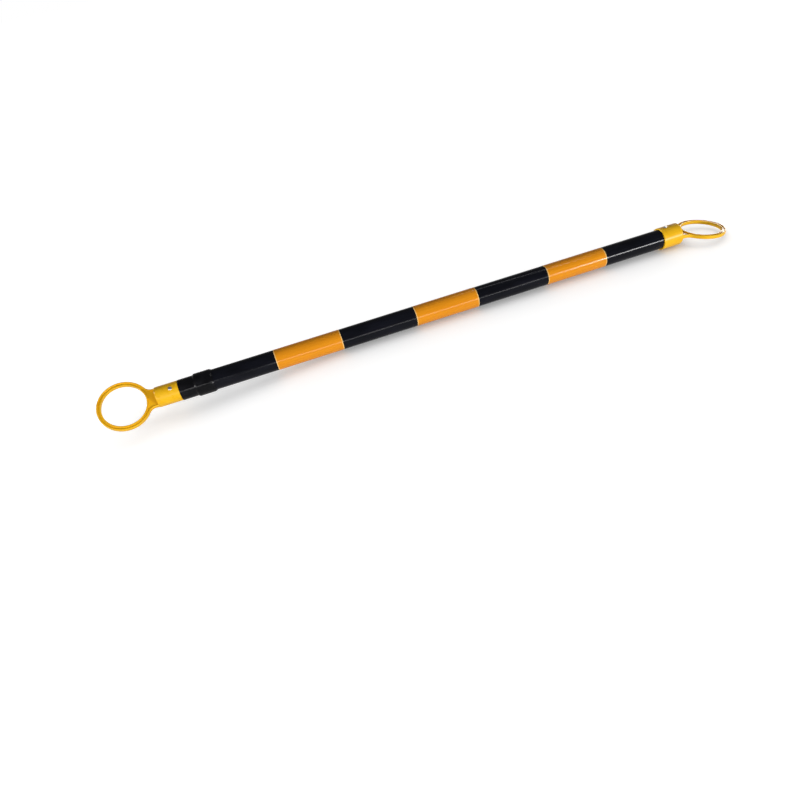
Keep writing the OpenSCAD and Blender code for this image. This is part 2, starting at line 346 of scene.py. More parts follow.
plastic = add_node(tree, "ShaderNodeBsdfPrincipled", {"IOR": 1.49, "Specular IOR Level": 0.07},
                   {"Base Color": tone.outputs["Color"], "Roughness": gloss.outputs["Result"],
                    "Normal": grain_up.outputs["Normal"]})
add_node(tree, "ShaderNodeOutputMaterial", links={"Surface": plastic.outputs["BSDF"]})
print("Made", black_pp.name)

# %% [markdown]
# ## The mouth bush
# The bush closes the gap between the tubes. Its nose is as wide as the outer tube and its collar
# grips that tube from outside, so two slopes show, one at each end of the collar. It could be cut
# from cylinders and bevelled, but one spun outline gives slopes and rounds at once. The front
# slope catches a small glint, which is why each corner has a radius of its own.

# %% Mouth bush
BUSH_BORE_R, NOSE_R, COLLAR_R, COLLAR_BORE_R = 16.63, 19.03, 21.1, 19.1
COLLAR_START, COLLAR_END, COLLAR_SLOPE = 27.3, 61.3, 3.0
COLLAR_EDGE = 0.6
LEAD_IN_ROUND, NOSE_ROUND, STEP_ROUND = 0.5, 0.9, 1.2
FRONT_ROUND, BACK_ROUND, EDGE_ROUND, SEAT_ROUND = 1.6, 1.2, 0.2, 0.3
BUSH_RUN = 4.0

bush_outline = rounded([
    (MOUTH_GAP, BUSH_BORE_R, LEAD_IN_ROUND), (MOUTH_GAP, NOSE_R, NOSE_ROUND),
    (COLLAR_START, NOSE_R, STEP_ROUND), (COLLAR_START + COLLAR_SLOPE, COLLAR_R, FRONT_ROUND),
    (COLLAR_END - COLLAR_SLOPE, COLLAR_R, BACK_ROUND),
    (COLLAR_END, COLLAR_BORE_R + COLLAR_EDGE, EDGE_ROUND), (COLLAR_END, COLLAR_BORE_R, 0),
    (OUTER_START, COLLAR_BORE_R, 0), (OUTER_START, BUSH_BORE_R, SEAT_ROUND)])
put_on_bar("black_mouth_bush", spun(with_short_runs(bush_outline, BUSH_RUN)),
           outer_place, black_pp, "outer_bar", "black_bush", "mouth_bush")

# %% [markdown]
# ## Reflective yellow film
# The bands are self-adhesive vinyl with glass beads under a clear face. The face is smooth and
# glossy, the orange-yellow lies below it, and the roller that pressed the film on leaves faint
# streaks along the bar. A pale line 1.6 mm wide is painted at both ends of a band as an edge
# highlight; the film's own cut core is only 0.2 mm thick. Beads are 0.05 mm across, and are drawn at
# 0.9 mm as a soft speckle. The painted highlight could be a piece of its own, but it is painted into
# the film, and generated coordinates, which run from 0 to 1 along each band, tell how near an end is.
# A low specular level keeps the yellow full.

# %% Film finish
BEAD = 0.9 * MM
STREAK = 3.0 * MM
BAND_LENGTH = 125.0
# width and fade in mm of the pale line painted at each band end as an edge highlight
EDGE_HIGHLIGHT_LINE, EDGE_HIGHLIGHT_FADE = 1.6, 0.64
FACTOR, UNDER, OVER, MIXED = 0, 6, 7, 2

film, tree = new_finish("reflective_yellow_film")
coordinates = add_node(tree, "ShaderNodeTexCoord")
place = coordinates.outputs["Object"]
beads = add_node(tree, "ShaderNodeTexVoronoi", {"Scale": 1 / BEAD}, {"Vector": place})
along_bar = add_node(tree, "ShaderNodeMapping", {"Scale": (0.04, 1, 1)}, {"Vector": place})
streaks = add_node(tree, "ShaderNodeTexNoise", {"Scale": 1 / STREAK, "Detail": 3.0},
                   {"Vector": along_bar.outputs["Vector"]})
tone = add_node(tree, "ShaderNodeValToRGB", links={"Fac": streaks.outputs["Fac"]})
for stop, at, colour in zip(tone.color_ramp.elements, (0.3, 0.75), ("#DE8C17", "#EA9B20")):
    stop.position, stop.color = at, linear(colour)
speckled = add_node(tree, "ShaderNodeMix", {OVER: linear("#D88513")},
                    {UNDER: tone.outputs["Color"], FACTOR: beads.outputs["Distance"]}, data_type="RGBA")
share = add_node(tree, "ShaderNodeSeparateXYZ", links={"Vector": coordinates.outputs["Generated"]})
from_middle = add_node(tree, "ShaderNodeMath", {1: 0.5}, {0: share.outputs["X"]}, operation="SUBTRACT")
to_end = add_node(tree, "ShaderNodeMath", links={0: from_middle.outputs[0]}, operation="ABSOLUTE")
# the painted edge highlight covers this last share of the band at each end
highlight_from = 0.5 - EDGE_HIGHLIGHT_LINE / BAND_LENGTH
painted_edge_highlight = add_node(tree, "ShaderNodeMapRange",
                  {"From Min": highlight_from, "From Max": highlight_from + EDGE_HIGHLIGHT_FADE / BAND_LENGTH},
                  {"Value": to_end.outputs[0]})
# mixes #F3C87C into the film colour near each end as a painted edge highlight
film_with_edge_highlight = add_node(tree, "ShaderNodeMix", {OVER: linear("#F3C87C")},
                    {UNDER: speckled.outputs[MIXED], FACTOR: painted_edge_highlight.outputs["Result"]}, data_type="RGBA")
gloss = add_node(tree, "ShaderNodeMapRange",
                 {"From Min": 0.3, "From Max": 0.7, "To Min": 0.13, "To Max": 0.21},
                 {"Value": streaks.outputs["Fac"]})
ripple = add_node(tree, "ShaderNodeBump", {"Strength": 0.15, "Distance": 0.05 * MM},
                  {"Height": streaks.outputs["Fac"]})
vinyl = add_node(tree, "ShaderNodeBsdfPrincipled", {"IOR": 1.5, "Specular IOR Level": 0.16},
                 {"Base Color": film_with_edge_highlight.outputs[MIXED], "Roughness": gloss.outputs["Result"],
                  "Normal": ripple.outputs["Normal"]})
add_node(tree, "ShaderNodeOutputMaterial", links={"Surface": vinyl.outputs["BSDF"]})
print("Made", film.name)

# %% [markdown]
# ## The film bands
# A band is one strip wrapped once round its tube, with its end stuck down over its start. So the
# film climbs over its own edge, runs double for a few millimetres and ends in a small step.
# A plain ring would look the same from the front, but the step shows from behind. So the wrap is
# drawn as a ring whose outside changes with the angle, with the step kept sharp and turned away to
# the lower back, where the wrapper would hide it.

# %% Film bands
FILM_GAP, FILM_T = 0.03, 0.2
FIRST_BLACK, LAST_BLACK = 115.0, 126.5
BANDS = 3
OVERLAP = math.radians(24)
CLIMB = math.radians(5)
SEAM_AT = math.radians(140)
STEP_TURN = 1e-4
BAND_RUNS = 10


def film_layers(angle):
    """How many layers of film lie over an angle, measured from the strip's start."""
    if angle < OVERLAP:
        return 2.0
    before_start = 2 * math.pi - angle
    return 1.0 + max(0.0, 1 - before_start / CLIMB)


def film_wrap(start, tube_r):
    mesh = bmesh.new()
    steps = [2 * math.pi * k / SPIN_STEPS for k in range(SPIN_STEPS)]
    steps = sorted(steps + [OVERLAP - STEP_TURN, OVERLAP + STEP_TURN, 2 * math.pi - CLIMB])
    places = [start + BAND_LENGTH * k / BAND_RUNS for k in range(BAND_RUNS + 1)]
    rings = []
    for angle in steps:
        inner_r = tube_r + FILM_GAP
        outer_r = inner_r + FILM_T * film_layers(angle)
        section = [(x, inner_r) for x in places] + [(x, outer_r) for x in reversed(places)]
        turn = angle + SEAM_AT
        rings.append([mesh.verts.new((x, r * math.sin(turn), r * math.cos(turn))) for x, r in section])
    for ring, following in zip(rings, rings[1:] + rings[:1]):
        for i in range(len(ring)):
            mesh.faces.new((ring[i - 1], ring[i], following[i], following[i - 1]))
    return mesh


def band_places(bare_start, bare_length):
    gap = (bare_length - FIRST_BLACK - BANDS * BAND_LENGTH - LAST_BLACK) / (BANDS - 1)
    return [bare_start + FIRST_BLACK + k * (BAND_LENGTH + gap) for k in range(BANDS)]


outer_bands = band_places(COLLAR_END, FIXED_MOUTH - COLLAR_END)
inner_bands = band_places(0.0, INNER_START + INNER_LENGTH)
for number, (outer_at, inner_at) in enumerate(zip(outer_bands, inner_bands), 1):
    put_on_bar(f"film_on_outer_tube_{number}", film_wrap(outer_at, OUTER_R),
               outer_place, film, "outer_bar", "yellow_film", f"outer_band_{number}")
    put_on_bar(f"film_on_inner_tube_{number}", film_wrap(inner_at, INNER_R),
               inner_place, film, "inner_bar", "yellow_film", f"inner_band_{number}")

# %% [markdown]
# ## Moulded yellow ABS
# Both ring ends are injection moulded in one go from traffic-yellow ABS. The mould is fine
# grained, so highlights are soft, and the colour drifts a little where the melt flowed. The grain
# is about 0.2 mm and is drawn at 0.7 mm, and the flow marks are about 18 mm long. One even colour
# would look like paint. A noise that is bent by its own distortion drifts as a melt does, and it
# moves the colour and the gloss together. A low specular level keeps the yellow full, as on the film.

# %% Yellow ABS finish
MOULD_GRAIN = 0.7 * MM
FLOW_MARK = 18 * MM

yellow_abs, tree = new_finish("moulded_yellow_abs")
place = add_node(tree, "ShaderNodeTexCoord").outputs["Object"]
flow = add_node(tree, "ShaderNodeTexNoise", {"Scale": 1 / FLOW_MARK, "Detail": 4.0, "Distortion": 0.6},
                {"Vector": place})
grain = add_node(tree, "ShaderNodeTexNoise", {"Scale": 1 / MOULD_GRAIN, "Detail": 3.0}, {"Vector": place})
tone = add_node(tree, "ShaderNodeValToRGB", links={"Fac": flow.outputs["Fac"]})
for stop, at, colour in zip(tone.color_ramp.elements, (0.3, 0.7), ("#E9B019", "#F1BB20")):
    stop.position, stop.color = at, linear(colour)
gloss = add_node(tree, "ShaderNodeMapRange",
                 {"From Min": 0.3, "From Max": 0.7, "To Min": 0.25, "To Max": 0.35},
                 {"Value": flow.outputs["Fac"]})
grain_up = add_node(tree, "ShaderNodeBump", {"Strength": 0.1, "Distance": 0.04 * MM},
                    {"Height": grain.outputs["Fac"]})
plastic = add_node(tree, "ShaderNodeBsdfPrincipled", {"IOR": 1.53, "Specular IOR Level": 0.16},
                   {"Base Color": tone.outputs["Color"], "Roughness": gloss.outputs["Result"],
                    "Normal": grain_up.outputs["Normal"]})
add_node(tree, "ShaderNodeOutputMaterial", links={"Surface": plastic.outputs["BSDF"]})
print("Made", yellow_abs.name)

# %% [markdown]
# ## The ring and its neck
# The ring is a thin web with a lip round its hole and a rim along its outer edge, on both faces.
# The rim is rounder on the upper face than on the lower one, and runs on along both sides of the
# neck into the sleeve. The plan could be extruded and bevelled, but bevels break where the neck
# meets the ring. Here the section is drawn with all its rounds and laid along rays from the ring's
# middle: its inner half follows the hole, and its outer half follows the plan's edge, drawn in step
# by step. Where the rays reach the sleeve, the faces curve up into it, as a moulding does.

# %% Plan of the ring
BORE_R, LIP_W, GROOVE_W, NECK_LENGTH, NECK_HOLLOW_R = 38.5, 2.4, 3.2, 10.0, 14.0
RING_R = BORE_R + 2 * LIP_W + GROOVE_W
RING_REACH = RING_R + NECK_LENGTH
ROOT_X = RING_REACH + SLEEVE_END / 2
HALF_LIP, HALF_WEB = 3.5, 1.5
LIP_ROUND, GROOVE_ROUND, ROOT_ROUND = 0.8, 0.5, 1.6
RIM_INNER_ROUND, RIM_TOP_ROUND, RIM_BOTTOM_ROUND = 0.4, 1.9, 0.7
TINY = 1e-6


def plan_edge(angle, inset, side_y):
    """How far the plan's edge is from the ring's middle, drawn in by inset."""
    ahead, across = math.cos(angle), abs(math.sin(angle))
    hollow_y = side_y + NECK_HOLLOW_R
    hollow_x = math.sqrt((RING_R + NECK_HOLLOW_R) ** 2 - hollow_y ** 2)
    if ahead <= 0 or across / ahead >= hollow_y / hollow_x:
        return RING_R - inset
    towards = ahead * hollow_x + across * hollow_y
    depth = towards ** 2 - (RING_R + NECK_HOLLOW_R) ** 2 + (NECK_HOLLOW_R + inset) ** 2
    if depth > 0 and (towards - math.sqrt(depth)) * ahead <= hollow_x:
        return towards - math.sqrt(depth)
    return min((side_y - inset) / max(across, TINY), ROOT_X / ahead)


print("The ring reaches", RING_REACH + RING_R, "mm from its sleeve")

# %% Section of the ring
LIP_STEPS = 5
FLOOR_STEPS = 12


def quarter(centre_x, centre_z, radius, from_degrees, to_degrees):
    """An arc of (out, up) points about a centre."""
    arc = []
    for k in range(LIP_STEPS + 1):
        angle = math.radians(from_degrees + (to_degrees - from_degrees) * k / LIP_STEPS)
        arc.append((centre_x + radius * math.cos(angle), centre_z + radius * math.sin(angle)))
    return arc


def raised_edge(outer_round, inner_round):
    """Half of the section of a lip, from its wall at 0 over its top and down to the groove."""
    edge = [(0.0, 0.0)]
    edge += quarter(outer_round, HALF_LIP - outer_round, outer_round, 180, 90)
    edge += quarter(LIP_W - inner_round, HALF_LIP - inner_round, inner_round, 90, 0)
    return edge + quarter(LIP_W + GROOVE_ROUND, HALF_WEB + GROOVE_ROUND, GROOVE_ROUND, 180, 270)


lip_section = raised_edge(LIP_ROUND, LIP_ROUND)
rim_top = raised_edge(RIM_TOP_ROUND, RIM_INNER_ROUND)
rim_bottom = raised_edge(RIM_BOTTOM_ROUND, RIM_INNER_ROUND)


def root_rise(x):
    """How far a face has curved up towards the sleeve."""
    share = min(1.0, max(0.0, (x - RING_REACH + ROOT_ROUND) / ROOT_ROUND))
    return ROOT_ROUND * (1 - math.sqrt(1 - share ** 2))


def half_section(angle, side_y, rim):
    """One face of the ring along one ray, from the hole to the plan's edge."""
    foot = LIP_W + GROOVE_ROUND
    floor_from, floor_to = BORE_R + foot, plan_edge(angle, foot, side_y)
    at_root = floor_to * math.cos(angle) > ROOT_X - TINY
    half = [(BORE_R + d, z) for d, z in lip_section]
    for k in range(1, FLOOR_STEPS):
        share = 1 - (1 - k / FLOOR_STEPS) ** 2
        half.append((floor_from + (floor_to - floor_from) * share, HALF_WEB))
    for d, z in reversed(rim):
        half.append((plan_edge(angle, d, side_y), min(z, HALF_WEB) if at_root else z))
    points = []
    for r, z in half:
        x = r * math.cos(angle)
        points.append(Vector((x, r * math.sin(angle), z + root_rise(x) * min(1.0, z / HALF_WEB))))
    return points


def ray_section(angle, side_y):
    """The closed section of the ring along one ray."""
    below = half_section(angle, side_y, rim_bottom)[1:-1]
    return half_section(angle, side_y, rim_top) + [Vector((p.x, p.y, -p.z)) for p in reversed(below)]


print("A section has", len(ray_section(math.pi, OUTER_R)), "points")

# %% Mesh of the ring
ROOT_RAYS, CORNER_RAYS, SIDE_RAYS, HOLLOW_RAYS, RING_RAYS = 6, 10, 12, 26, 80
CORNER_TURN = 1e-5


def span(start, end, steps):
    return [start + (end - start) * k / steps for k in range(steps)]


def ray_angles(side_y):
    """Rays for half of the plan, close together where its edge bends."""
    hollow_y = side_y + NECK_HOLLOW_R
    hollow_x = math.sqrt((RING_R + NECK_HOLLOW_R) ** 2 - hollow_y ** 2)
    floor_corner = math.atan2(side_y - LIP_W - GROOVE_ROUND, ROOT_X) - CORNER_TURN
    wall_corner = math.atan2(side_y - LIP_W, ROOT_X) + CORNER_TURN
    rim_corner = math.atan2(side_y, ROOT_X)
    hollow_end, ring_start = math.atan2(side_y, hollow_x), math.atan2(hollow_y, hollow_x)
    angles = span(0.0, floor_corner, ROOT_RAYS) + [floor_corner]
    angles += span(wall_corner, rim_corner, CORNER_RAYS) + span(rim_corner, hollow_end, SIDE_RAYS)
    return angles + span(hollow_end, ring_start, HOLLOW_RAYS) + span(ring_start, math.pi, RING_RAYS)


def ring_and_neck(side_y):
    half = ray_angles(side_y)
    mesh = bmesh.new()
    rays = []
    for angle in half + [math.pi] + [-a for a in reversed(half[1:])]:
        rays.append([mesh.verts.new(p) for p in ray_section(angle, side_y)])
    for ray, following in zip(rays, rays[1:] + rays[:1]):
        for i in range(len(ray)):
            mesh.faces.new((ray[i - 1], ray[i], following[i], following[i - 1]))
    bmesh.ops.remove_doubles(mesh, verts=mesh.verts, dist=WELD)
    bmesh.ops.dissolve_degenerate(mesh, edges=mesh.edges, dist=TINY)
    return mesh


print("Half of a ring has", len(ray_angles(OUTER_R)), "rays")

# %% [markdown]
# ## The ring ends
# A ring end is a sleeve with a closed end, and the ring grows out of that end. The necks
# bend a few degrees, so that the rings lie level while the bar slopes. Sleeve and ring could be two
# meshes that run into each other, but a moulding is one skin, so one boolean joins them.

# %% Ring ends
SLEEVE_WALL, GLUE_GAP, NECK_INSET = 2.5, 0.1, 0.7
SLEEVE_ROUND, MOUTH_ROUND, SOCKET_ROUND, SOCKET_END_ROUND = 2.0, 0.9, 0.5, 0.3
SLEEVE_RUN = 3.0
FIXED_BEND, SLIDING_BEND = math.radians(7), math.radians(-6)


def ring_end(tube_r, bend):
    socket_r = tube_r + GLUE_GAP
    sleeve_r = socket_r + SLEEVE_WALL
    socket_end = SLEEVE_LENGTH - SLEEVE_END
    sleeve = rounded([(0, socket_r, SOCKET_ROUND), (0, sleeve_r, MOUTH_ROUND),
                      (SLEEVE_LENGTH, sleeve_r, SLEEVE_ROUND), (SLEEVE_LENGTH, 0, 0),
                      (socket_end, 0, 0), (socket_end, socket_r, SOCKET_END_ROUND)])
    ring = ring_and_neck(sleeve_r - NECK_INSET)
    ring_place = (Matrix.Translation((SLEEVE_LENGTH, 0, 0)) @ Matrix.Rotation(bend, 4, "Y")
                  @ Matrix.Translation((RING_REACH, 0, 0)) @ Matrix.Scale(-1, 4, (1, 0, 0)))
    bmesh.ops.transform(ring, matrix=ring_place, verts=ring.verts)
    return combined(spun(with_short_runs(sleeve, SLEEVE_RUN)), ("UNION", ring),
                    ("DIFFERENCE", drill(RIVET_INSET, RIVET_HOLE_R, 2 * OUTER_R)))


to_the_right = Matrix.Translation((FIXED_MOUTH, 0, 0))
to_the_left = Matrix.Scale(-1, 4, (1, 0, 0))
put_on_bar("yellow_fixed_ring_end", ring_end(OUTER_R, FIXED_BEND), outer_place @ to_the_right,
           yellow_abs, "outer_bar", "yellow_moulding", "fixed_ring_end")
put_on_bar("yellow_sliding_ring_end", ring_end(INNER_R, SLIDING_BEND), inner_place @ to_the_left,
           yellow_abs, "inner_bar", "yellow_moulding", "sliding_ring_end")

# %% [markdown]
# ## Pressed aluminium and plated steel
# A blind rivet is pressed from soft aluminium, so it is bright with fine tool marks. The pin that
# pulled it tight is plated steel, and snapped off, so it is darker and rougher. Both are metals:
# the base colour is what they reflect. Tool marks are 0.1 mm apart, and are drawn at 0.4 mm. The two
# could be made one by one, but they differ only in colours and roughness, so one function makes both.

# %% Metal finishes
TOOL_MARK = 0.4 * MM


def metal(name, dull, bright, smooth, rough):
    finish, tree = new_finish(name)
    place = add_node(tree, "ShaderNodeTexCoord").outputs["Object"]
    marks = add_node(tree, "ShaderNodeTexNoise", {"Scale": 1 / TOOL_MARK, "Detail": 4.0}, {"Vector": place})
    tone = add_node(tree, "ShaderNodeValToRGB", links={"Fac": marks.outputs["Fac"]})
    tone.color_ramp.elements[0].color = linear(dull)
    tone.color_ramp.elements[1].color = linear(bright)
    gloss = add_node(tree, "ShaderNodeMapRange", {"To Min": smooth, "To Max": rough},
                     {"Value": marks.outputs["Fac"]})
    marks_up = add_node(tree, "ShaderNodeBump", {"Strength": 0.2, "Distance": 0.02 * MM},
                        {"Height": marks.outputs["Fac"]})
    surface = add_node(tree, "ShaderNodeBsdfPrincipled", {"Metallic": 1.0},
                       {"Base Color": tone.outputs["Color"], "Roughness": gloss.outputs["Result"],
                        "Normal": marks_up.outputs["Normal"]})
    add_node(tree, "ShaderNodeOutputMaterial", links={"Surface": surface.outputs["BSDF"]})
    print("Made", name)
    return finish


aluminium = metal("pressed_aluminium", "#A9AAAD", "#D9DADC", 0.2, 0.4)
steel = metal("plated_steel", "#5E5F62", "#8C8D90", 0.35, 0.55)

# %% [markdown]
# ## The rivets
# A set rivet has a low dome outside and a squeezed bulb inside the tube, and its pin sits a little
# below the top of the dome. A flattened ball would do for the dome alone, but the hole with the pin in
# it is what tells a rivet from a button. So both are drawn as outlines from the tube's axis outward,
# turned about their own axis and then stood on the bar.

# %% Rivets
HEAD_R, HEAD_H, HEAD_RIM = 3.5, 1.4, 0.3
SHANK_R, TAIL_R, TAIL_LENGTH, RIVET_GAP = 2.0, 3.0, 4.0, 0.05
PIN_R, PIN_HEAD_R, PIN_HEAD_T, PIN_BELOW, PIN_DOME = 1.1, 1.8, 1.5, 0.4, 0.15
HOLE_EDGE, HOLE_SINK, RIM_EDGE, RIM_SHARE, SEAT_EDGE = 0.15, 0.35, 0.12, 0.6, 0.1
TAIL_TOP_ROUND, TAIL_ROUND, PIN_ROUND, PIN_NECK_ROUND, PIN_HEAD_ROUND = 0.6, 1.4, 0.1, 0.3, 0.7
DOME_STEPS, RIVET_STEPS, PIN_STEPS = 10, 64, 48
stood_up = Matrix.Rotation(-math.pi / 2, 4, "Y")


def rivet_outlines(sleeve_r, bore_r):
    seat = sleeve_r + RIVET_GAP
    tail_top = math.sqrt(bore_r ** 2 - TAIL_R ** 2) - RIVET_GAP
    tail = tail_top - TAIL_LENGTH
    hole_r = PIN_R + RIVET_GAP
    cap = HEAD_H - HEAD_RIM
    ball_r = (cap ** 2 + HEAD_R ** 2) / (2 * cap)
    top = seat + HEAD_H
    dome_from, dome_to = hole_r + HOLE_EDGE, HEAD_R - RIM_EDGE
    dome = []
    for k in range(DOME_STEPS + 1):
        r = dome_from + (dome_to - dome_from) * k / DOME_STEPS
        dome.append((top - ball_r + math.sqrt(ball_r ** 2 - r ** 2), r, 0))
    rivet = rounded([(top - HOLE_SINK, hole_r, 0)] + dome + [
        (seat + HEAD_RIM * RIM_SHARE, HEAD_R, 0), (seat, HEAD_R - SEAT_EDGE, 0), (seat, SHANK_R, 0),
        (tail_top, SHANK_R, 0), (tail_top, TAIL_R, TAIL_TOP_ROUND), (tail, TAIL_R, TAIL_ROUND),
        (tail, hole_r, 0)])
    pin_top, pin_head = top - PIN_BELOW, tail - RIVET_GAP
    pin_end = pin_head - PIN_HEAD_T
    pin = rounded([(pin_top, 0, 0), (pin_top - PIN_DOME, PIN_R, PIN_ROUND), (pin_head, PIN_R, 0),
                   (pin_head, PIN_HEAD_R, PIN_NECK_ROUND), (pin_end, PIN_HEAD_R, PIN_HEAD_ROUND),
                   (pin_end, 0, 0)])
    return rivet, pin


for end, along, tube_r, bore_r, place, body in (
        ("fixed", FIXED_MOUTH + RIVET_INSET, OUTER_R, OUTER_BORE_R, outer_place, "outer_bar"),
        ("sliding", -RIVET_INSET, INNER_R, INNER_BORE_R, inner_place, "inner_bar")):
    rivet, pin = rivet_outlines(tube_r + GLUE_GAP + SLEEVE_WALL, bore_r)
    stand = place @ Matrix.Translation((along, 0, 0)) @ stood_up
    put_on_bar(f"{end}_aluminium_rivet", spun(rivet, RIVET_STEPS), stand, aluminium, body,
               "rivet_aluminium", f"{end}_rivet")
    put_on_bar(f"{end}_steel_pin", spun(pin, PIN_STEPS), stand, steel, body,
               "mandrel_steel", f"{end}_rivet_mandrel")

# %% [markdown]
# ## Natural nylon inside
# The tail plug and its friction ring never show, but they are part of the bar. They could be made
# again as the other pieces are, but their CAD shapes are right, so they stay, and get the ivory
# colour and the waxy sheen of undyed nylon. Its cloudiness is in patches of about 6 mm.

# %% Nylon finish
NYLON_CLOUD = 6 * MM

nylon, tree = new_finish("turned_natural_nylon")
place = add_node(tree, "ShaderNodeTexCoord").outputs["Object"]
cloud = add_node(tree, "ShaderNodeTexNoise", {"Scale": 1 / NYLON_CLOUD, "Detail": 4.0}, {"Vector": place})
tone = add_node(tree, "ShaderNodeValToRGB", links={"Fac": cloud.outputs["Fac"]})
tone.color_ramp.elements[0].color = linear("#D5CDBB")
tone.color_ramp.elements[1].color = linear("#E6E0D2")
gloss = add_node(tree, "ShaderNodeMapRange", {"To Min": 0.38, "To Max": 0.52},
                 {"Value": cloud.outputs["Fac"]})
wax = add_node(tree, "ShaderNodeBsdfPrincipled", {"IOR": 1.53},
               {"Base Color": tone.outputs["Color"], "Roughness": gloss.outputs["Result"]})
add_node(tree, "ShaderNodeOutputMaterial", links={"Surface": wax.outputs["BSDF"]})
for node in ("tail_plug", "friction_ring"):
    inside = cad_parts[node]
    inside.data.materials.clear()
    inside.data.materials.append(nylon)
    print(node, "keeps its CAD shape and is now", nylon.name)

# %% [markdown]
# ## The floor
# The bar lies on a wide, plain sheet. A flat plane would do for one picture, but the sliding ring can
# be turned about the bar, and would then go through the plane. So the sheet has a shallow hollow under
# that ring. Its depth follows a cosine, which starts and ends flat, so its edge can't be seen.
# Outside the hollow each ring of faces is twice as wide as the one before, which needs few faces.

# %% Floor sheet
HOLLOW_R, HOLLOW_DEPTH, HOLLOW_STEPS = 0.45, 26 * MM, 16
FLOOR_DOUBLINGS, FLOOR_SPIN_STEPS = 7, 48

ring_x = bar_start.x - (SLEEVE_LENGTH + RING_REACH) * MM
radii = [HOLLOW_R * k / HOLLOW_STEPS for k in range(HOLLOW_STEPS)]
radii += [HOLLOW_R * 2 ** k for k in range(FLOOR_DOUBLINGS)]
floor_mesh = bmesh.new()
line = []
for radius in radii:
    depth = HOLLOW_DEPTH * (1 + math.cos(math.pi * min(1.0, radius / HOLLOW_R))) / 2
    line.append(floor_mesh.verts.new((ring_x + radius, 0, -depth)))
runs = [floor_mesh.edges.new(ends) for ends in zip(line, line[1:])]
bmesh.ops.spin(floor_mesh, geom=line + runs, cent=(ring_x, 0, 0), axis=(0, 0, 1),
               angle=2 * math.pi, steps=FLOOR_SPIN_STEPS)
bmesh.ops.remove_doubles(floor_mesh, verts=floor_mesh.verts, dist=WELD)
floor = as_object("pale_floor", floor_mesh)
floor.data.polygons.foreach_set("use_smooth", [True] * len(floor.data.polygons))
print("The floor is", round(2 * radii[-1]), "m wide")

# %% [markdown]
# ## Pale paper
# The floor is matt paper, which scatters light evenly. Its own paint is lit like anything else, so it
# keeps the bar's soft shadow. More lamps could make it white, but would bleach the bar, so a
# glow lifts it only for what the camera, reflections and glass see. The glow grows outward, because
# the lamps fade there, and ambient occlusion dims it close to the bar, which paints a soft contact
# shadow under the bar, seen by the camera and in the bar's reflections.

# %% Paper finish
FLOOR_GLOW, FULL_GLOW = 0.88, 1.0
GLOW_FROM, GLOW_TO = 0.7, 2.5
SHADOW_REACH = 0.12

paper, tree = new_finish("pale_paper")
path = add_node(tree, "ShaderNodeLightPath")
seen = add_node(tree, "ShaderNodeMath", operation="MAXIMUM",
                links={0: path.outputs["Is Camera Ray"], 1: path.outputs["Is Glossy Ray"]})
seen = add_node(tree, "ShaderNodeMath", operation="MAXIMUM",
                links={0: seen.outputs[0], 1: path.outputs["Is Transmission Ray"]})
paint = add_node(tree, "ShaderNodeBsdfDiffuse", {"Color": linear("#C8C8C8")})
spot = add_node(tree, "ShaderNodeTexCoord").outputs["Object"]
away = add_node(tree, "ShaderNodeVectorMath", links={0: spot}, operation="LENGTH")
lift = add_node(tree, "ShaderNodeMapRange",
                {"From Min": GLOW_FROM, "From Max": GLOW_TO, "To Min": FLOOR_GLOW, "To Max": FULL_GLOW},
                {"Value": away.outputs["Value"]})
# ambient occlusion dims the floor's glow near the bar: a painted contact shadow
painted_contact_shadow = add_node(tree, "ShaderNodeAmbientOcclusion", {"Distance": SHADOW_REACH})
glow_with_painted_shadow = add_node(tree, "ShaderNodeMath", operation="MULTIPLY",
                     links={0: lift.outputs["Result"], 1: painted_contact_shadow.outputs["AO"]})
glow_strength = add_node(tree, "ShaderNodeMath", operation="MULTIPLY",
                         links={0: glow_with_painted_shadow.outputs[0], 1: seen.outputs[0]})
glow = add_node(tree, "ShaderNodeEmission", {"Color": linear("#FFFFFF")},
                {"Strength": glow_strength.outputs[0]})
lifted = add_node(tree, "ShaderNodeAddShader", links={0: paint.outputs["BSDF"], 1: glow.outputs["Emission"]})
add_node(tree, "ShaderNodeOutputMaterial", links={"Surface": lifted.outputs["Shader"]})
floor.data.materials.append(paper)
print("Made", paper.name)

# %% [markdown]
# ## The room
# Round the floor there is a plain white room. It could light the bar too, but light from all sides
# leaves no shapes, so it gives almost none. The camera sees it white. In reflections it is white low
# down, like a paper sweep, and darkens towards the ceiling, so that the top of the bar stays dark.

# %% World
WORLD_LIGHT, CEILING_SHADE = 0.03, 0.2
SWEEP_TOP, CEILING_FROM = math.sin(math.radians(3)), math.sin(math.radians(22))

world = bpy.data.worlds.new("studio")
bpy.context.scene.world = world
world.use_nodes = True
tree = world.node_tree
tree.nodes.clear()
towards = add_node(tree, "ShaderNodeTexCoord").outputs["Generated"]
height = add_node(tree, "ShaderNodeSeparateXYZ", links={"Vector": towards})
sweep = add_node(tree, "ShaderNodeMapRange",
                 {"From Min": SWEEP_TOP, "From Max": CEILING_FROM, "To Min": 1.0, "To Max": CEILING_SHADE},
                 {"Value": height.outputs["Z"]})
path = add_node(tree, "ShaderNodeLightPath")
mirrored = add_node(tree, "ShaderNodeMath", operation="MAXIMUM",
                    links={0: path.outputs["Is Glossy Ray"], 1: path.outputs["Is Transmission Ray"]})
mirrored = add_node(tree, "ShaderNodeMath", operation="MULTIPLY",
                    links={0: mirrored.outputs[0], 1: sweep.outputs["Result"]})
seen = add_node(tree, "ShaderNodeMath", operation="MAXIMUM",
                links={0: path.outputs["Is Camera Ray"], 1: mirrored.outputs[0]})
strength = add_node(tree, "ShaderNodeMath", {1: WORLD_LIGHT}, {0: seen.outputs[0]}, operation="MAXIMUM")
sky = add_node(tree, "ShaderNodeBackground", {"Color": linear("#FFFFFF")},
               {"Strength": strength.outputs[0]})
